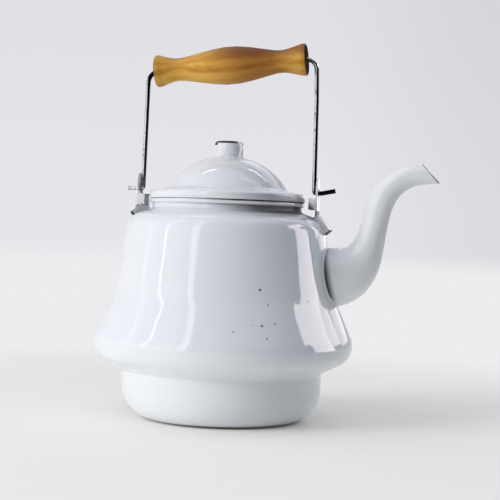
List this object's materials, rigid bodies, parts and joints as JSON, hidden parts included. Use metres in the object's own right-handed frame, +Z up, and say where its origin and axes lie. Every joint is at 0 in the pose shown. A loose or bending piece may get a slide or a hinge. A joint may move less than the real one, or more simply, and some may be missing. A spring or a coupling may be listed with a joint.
{
  "type": "gooseneck kettle",
  "caption": "Enamelled steel stove-top kettle with a flared belly, a curved gooseneck spout, a loose domed lid with a knob and a swinging wire bail with a turned wooden grip.",
  "frame": {"origin": "middle of the flat base, on the kettle's axis, where it stands", "axes": "+Z up along the kettle's axis, +X along the spout, +Y to the left when looking along +X"},
  "size_m": [0.255, 0.1952, 0.2822],
  "materials": {
    "enamel": "glossy white vitreous enamel on steel",
    "ear_enamel": "worn pale grey enamel on steel",
    "wire": "bright plated steel wire",
    "wood": "varnished amber wood, grain along the grip"
  },
  "bodies": {
    "kettle": {"body_shell": "enamel", "base_pan": "enamel", "spout_left_half": "enamel", "spout_right_half": "enamel", "front_lug": "ear_enamel", "rear_lug": "ear_enamel"},
    "lid": {"lid_shell": "enamel", "lid_collar": "enamel", "lid_knob": "enamel"},
    "bail": {"bail_wire": "wire"},
    "grip": {"bail_grip": "wood"}
  },
  "joints": [
    {"name": "bail_swing", "type": "hinge", "parent": "kettle", "child": "bail", "pos_m": [0, 0, 0.1711], "axis": [1, 0, 0], "range_deg": [-100, 100]},
    {"name": "grip_spin", "type": "hinge", "parent": "bail", "child": "grip", "pos_m": [0, 0, 0.2653], "axis": [0.9959, 0, 0.0903], "continuous": true},
    {"name": "lid_lift", "type": "slide", "parent": "kettle", "child": "lid", "axis": [0, 0, 1], "range_m": [0, 0.038]}
  ]
}
